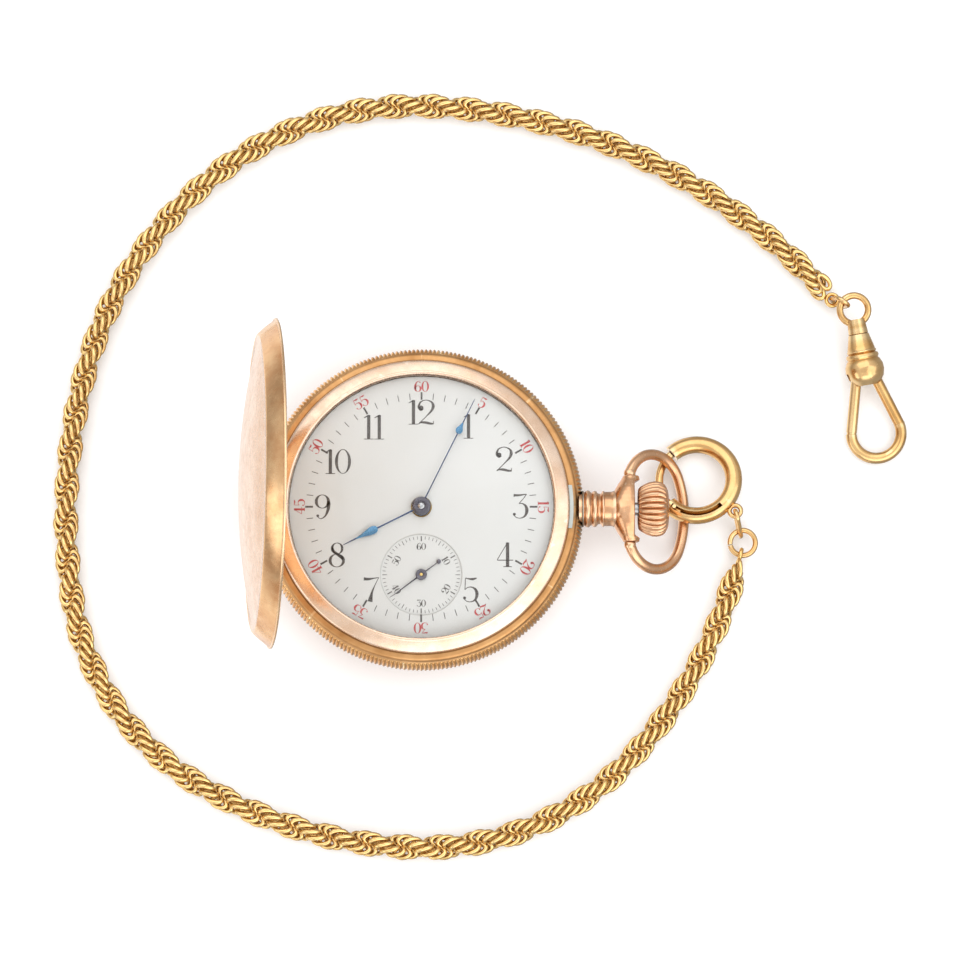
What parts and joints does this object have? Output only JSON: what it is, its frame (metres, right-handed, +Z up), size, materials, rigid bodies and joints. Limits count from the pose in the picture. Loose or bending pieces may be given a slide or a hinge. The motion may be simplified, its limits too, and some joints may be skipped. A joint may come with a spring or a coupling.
{
  "type": "pocket_watch",
  "caption": "Hunter pocket watch lying open on its back, with a white enamel dial, drooped bow, bolt ring, rope chain and swivel clasp",
  "frame": {"origin": "on the centre arbor's axis, at the flat disc of the back cover that the watch rests on", "axes": "+X from the centre of the dial along the pendant and crown, +Y towards 12 on the dial, +Z up from the back cover to the dial"},
  "size_m": [0.111, 0.1004, 0.0494],
  "materials": {
    "case_gold": "polished rose gold",
    "chain_gold": "polished yellow gold",
    "enamel": "fired white enamel, gloss",
    "crystal": "clear, polished",
    "blued_steel": "heat-blued, polished",
    "steel": "fine brushed",
    "nickel": "nickel plate, damascened",
    "gilt_brass": "gilt, fine brushed"
  },
  "bodies": {
    "case": {"case_middle": "case_gold", "pendant": "case_gold", "bezel": "case_gold", "crystal": "crystal", "front_hinge_pin": "steel", "back_hinge_pin": "steel", "lift_spring": "steel", "lock_spring": "steel", "case_screws": "steel", "dial": "enamel", "main_plate": "nickel", "barrel_bridge": "nickel", "train_bridge": "nickel", "balance_cock": "nickel", "pallet_bridge": "nickel", "bridge_screws": "blued_steel", "hairspring": "blued_steel"},
    "bow": {"bow": "case_gold"},
    "front_cover": {"front_cover": "case_gold"},
    "back_cover": {"back_cover": "case_gold"},
    "winding": {"winding_pinion": "steel"},
    "crown": {"crown": "case_gold", "winding_stem": "steel"},
    "barrel": {"mainspring_barrel": "gilt_brass", "mainspring": "blued_steel"},
    "barrel_arbor": {"barrel_arbor": "steel", "ratchet_wheel": "steel"},
    "crown_wheel": {"crown_wheel": "steel"},
    "click": {"click": "steel"},
    "centre": {"centre_wheel": "gilt_brass", "cannon_pinion": "steel", "minute_hand": "blued_steel"},
    "third": {"third_wheel": "gilt_brass"},
    "fourth": {"fourth_wheel": "gilt_brass", "seconds_hand": "blued_steel"},
    "escape": {"escape_wheel": "steel"},
    "pallet_fork": {"pallet_fork": "steel"},
    "balance": {"balance_wheel": "gilt_brass"},
    "minute": {"minute_wheel": "gilt_brass"},
    "hour": {"hour_wheel": "gilt_brass", "hour_hand": "blued_steel"},
    "bolt_ring": {"bolt_ring": "chain_gold"},
    "ring_bolt": {"ring_bolt": "chain_gold"},
    "eye_link": {"eye_link": "chain_gold"},
    "jump_ring": {"jump_ring": "chain_gold"},
    "chain_1": {"chain_1": "chain_gold"},
    "chain_2": {"chain_2": "chain_gold"},
    "chain_3": {"chain_3": "chain_gold"},
    "chain_4": {"chain_4": "chain_gold"},
    "chain_5": {"chain_5": "chain_gold"},
    "chain_6": {"chain_6": "chain_gold"},
    "chain_7": {"chain_7": "chain_gold"},
    "chain_8": {"chain_8": "chain_gold"},
    "chain_9": {"chain_9": "chain_gold"},
    "end_ring": {"end_ring": "chain_gold"},
    "swivel_loop": {"swivel_loop": "chain_gold"},
    "swivel_hook": {"swivel_hook": "chain_gold"},
    "swivel_gate": {"swivel_gate": "chain_gold"}
  },
  "joints": [
    {"name": "back_cover_hinge", "type": "hinge", "parent": "case", "child": "back_cover", "pos_m": [-0.0204, 0, 0.0043], "axis": [0, 1, 0], "range_deg": [0, 95]},
    {"name": "balance_swing", "type": "hinge", "parent": "case", "child": "balance", "pos_m": [-0.0089, -0.001, 0.00375], "axis": [0, 0, 1], "range_deg": [-270, 270]},
    {"name": "bow_swing", "type": "hinge", "parent": "case", "child": "bow", "pos_m": [0.0269, 0, 0.0066], "axis": [0, -1, 0], "range_deg": [-45, 129]},
    {"name": "case_lid_hinge", "type": "hinge", "parent": "case", "child": "front_cover", "pos_m": [-0.0204, 0, 0.0087], "axis": [0, 1, 0], "range_deg": [-8, 83]},
    {"name": "bolt_slide", "type": "hinge", "parent": "bolt_ring", "child": "ring_bolt", "pos_m": [0.03575, 0.00445, 0.002], "axis": [-0.0907, 0.1571, 0.9834], "range_deg": [0, 72]},
    {"name": "centre_turn", "type": "hinge", "parent": "case", "child": "centre", "pos_m": [0, 0, 0.005], "axis": [0, 0, -1], "continuous": true},
    {"name": "chain_1_bend", "type": "hinge", "parent": "jump_ring", "child": "chain_1", "pos_m": [0.04141, -0.00531, 0.0013], "axis": [0, 0, 1], "range_deg": [-2, 24]},
    {"name": "chain_2_bend", "type": "hinge", "parent": "chain_1", "child": "chain_2", "pos_m": [0.02705, -0.03183, 0.0013], "axis": [0, 0, 1], "range_deg": [-2, 38]},
    {"name": "chain_3_bend", "type": "hinge", "parent": "chain_2", "child": "chain_3", "pos_m": [-0.00012, -0.04337, 0.0013], "axis": [0, 0, 1], "range_deg": [-2, 39]},
    {"name": "chain_4_bend", "type": "hinge", "parent": "chain_3", "child": "chain_4", "pos_m": [-0.02901, -0.03508, 0.0013], "axis": [0, 0, 1], "range_deg": [-2, 40]},
    {"name": "chain_5_bend", "type": "hinge", "parent": "chain_4", "child": "chain_5", "pos_m": [-0.04548, -0.01067, 0.0013], "axis": [0, 0, 1], "range_deg": [-2, 37]},
    {"name": "chain_6_bend", "type": "hinge", "parent": "chain_5", "child": "chain_6", "pos_m": [-0.0439, 0.01947, 0.0013], "axis": [0, 0, 1], "range_deg": [-2, 30]},
    {"name": "chain_7_bend", "type": "hinge", "parent": "chain_6", "child": "chain_7", "pos_m": [-0.02782, 0.04471, 0.0013], "axis": [0, 0, 1], "range_deg": [-2, 38]},
    {"name": "chain_8_bend", "type": "hinge", "parent": "chain_7", "child": "chain_8", "pos_m": [0.00029, 0.05439, 0.0013], "axis": [0, 0, 1], "range_deg": [-2, 33]},
    {"name": "chain_9_bend", "type": "hinge", "parent": "chain_8", "child": "chain_9", "pos_m": [0.02957, 0.04708, 0.0013], "axis": [0, 0, 1], "range_deg": [-2, 24]},
    {"name": "click_turn", "type": "hinge", "parent": "case", "child": "click", "pos_m": [-0.0066, 0.0081, 0.0024], "axis": [0, 0, 1], "range_deg": [-15, 0]},
    {"name": "crown_pull", "type": "slide", "parent": "winding", "child": "crown", "axis": [1, 0, 0], "range_m": [-0.0002, 0.0008]},
    {"name": "crown_turn", "type": "hinge", "parent": "case", "child": "winding", "pos_m": [0.012, 0, 0.0066], "axis": [1, 0, 0], "continuous": true},
    {"name": "barrel_turn", "type": "hinge", "parent": "case", "child": "barrel", "pos_m": [0.003, 0.0083, 0.005], "axis": [0, 0, -1], "continuous": true},
    {"name": "ratchet_turn", "type": "hinge", "parent": "case", "child": "barrel_arbor", "pos_m": [0.003, 0.0083, 0.005], "axis": [0, 0, 1], "continuous": true},
    {"name": "crown_wheel_turn", "type": "hinge", "parent": "case", "child": "crown_wheel", "pos_m": [0.0106, 0, 0.003], "axis": [0, 0, 1], "continuous": true},
    {"name": "third_turn", "type": "hinge", "parent": "case", "child": "third", "pos_m": [0.0046, -0.0051, 0.005], "axis": [0, 0, -1], "continuous": true},
    {"name": "fourth_turn", "type": "hinge", "parent": "case", "child": "fourth", "pos_m": [0, -0.0088, 0.005], "axis": [0, 0, -1], "continuous": true},
    {"name": "escape_turn", "type": "hinge", "parent": "case", "child": "escape", "pos_m": [-0.005, -0.007, 0.005], "axis": [0, 0, -1], "continuous": true},
    {"name": "minute_turn", "type": "hinge", "parent": "case", "child": "minute", "pos_m": [0, 0.0029, 0.0073], "axis": [0, 0, -1], "continuous": true},
    {"name": "hour_turn", "type": "hinge", "parent": "case", "child": "hour", "pos_m": [0, 0, 0.0077], "axis": [0, 0, -1], "continuous": true},
    {"name": "pallet_swing", "type": "hinge", "parent": "case", "child": "pallet_fork", "pos_m": [-0.00685, -0.00415, 0.005], "axis": [0, 0, 1], "range_deg": [-5, 5]},
    {"name": "ring_hang", "type": "hinge", "parent": "bow", "child": "bolt_ring", "pos_m": [0.03413, 0, 0.00075], "axis": [0, -1, 0], "range_deg": [0, 20]},
    {"name": "eye_link_turn", "type": "hinge", "parent": "bolt_ring", "child": "eye_link", "pos_m": [0.04088, -0.00048, 0.00326], "axis": [0, 0, 1], "range_deg": [-5, 9]},
    {"name": "jump_ring_turn", "type": "hinge", "parent": "eye_link", "child": "jump_ring", "pos_m": [0.04132, -0.00211, 0.0013], "axis": [0.9658, 0.2594, 0], "range_deg": [-5, 8]},
    {"name": "end_ring_turn", "type": "hinge", "parent": "chain_9", "child": "end_ring", "pos_m": [0.05438, 0.02803, 0.0013], "axis": [0, 0, 1], "range_deg": [-8, 8]},
    {"name": "swivel_loop_turn", "type": "hinge", "parent": "end_ring", "child": "swivel_loop", "pos_m": [0.05485, 0.02772, 0.00397], "axis": [0, 0, 1], "range_deg": [-15, 20]},
    {"name": "swivel_turn", "type": "hinge", "parent": "swivel_loop", "child": "swivel_hook", "pos_m": [0.0564, 0.0267, 0.00378], "axis": [0.1767, -0.9726, -0.1513], "range_deg": [-20, 20]},
    {"name": "swivel_gate_turn", "type": "hinge", "parent": "swivel_hook", "child": "swivel_gate", "pos_m": [0.05671, 0.01771, 0.00242], "axis": [0.027, -0.1488, 0.9885], "range_deg": [0, 16]}
  ],
  "couplings": [
    {"joint": "third_turn", "follows": "centre_turn", "ratio": -8},
    {"joint": "fourth_turn", "follows": "centre_turn", "ratio": 60},
    {"joint": "escape_turn", "follows": "centre_turn", "ratio": -600},
    {"joint": "barrel_turn", "follows": "centre_turn", "ratio": -0.125},
    {"joint": "minute_turn", "follows": "centre_turn", "ratio": -0.33333},
    {"joint": "hour_turn", "follows": "centre_turn", "ratio": 0.083333},
    {"joint": "crown_wheel_turn", "follows": "crown_turn", "ratio": 1},
    {"joint": "ratchet_turn", "follows": "crown_turn", "ratio": -0.66667}
  ]
}
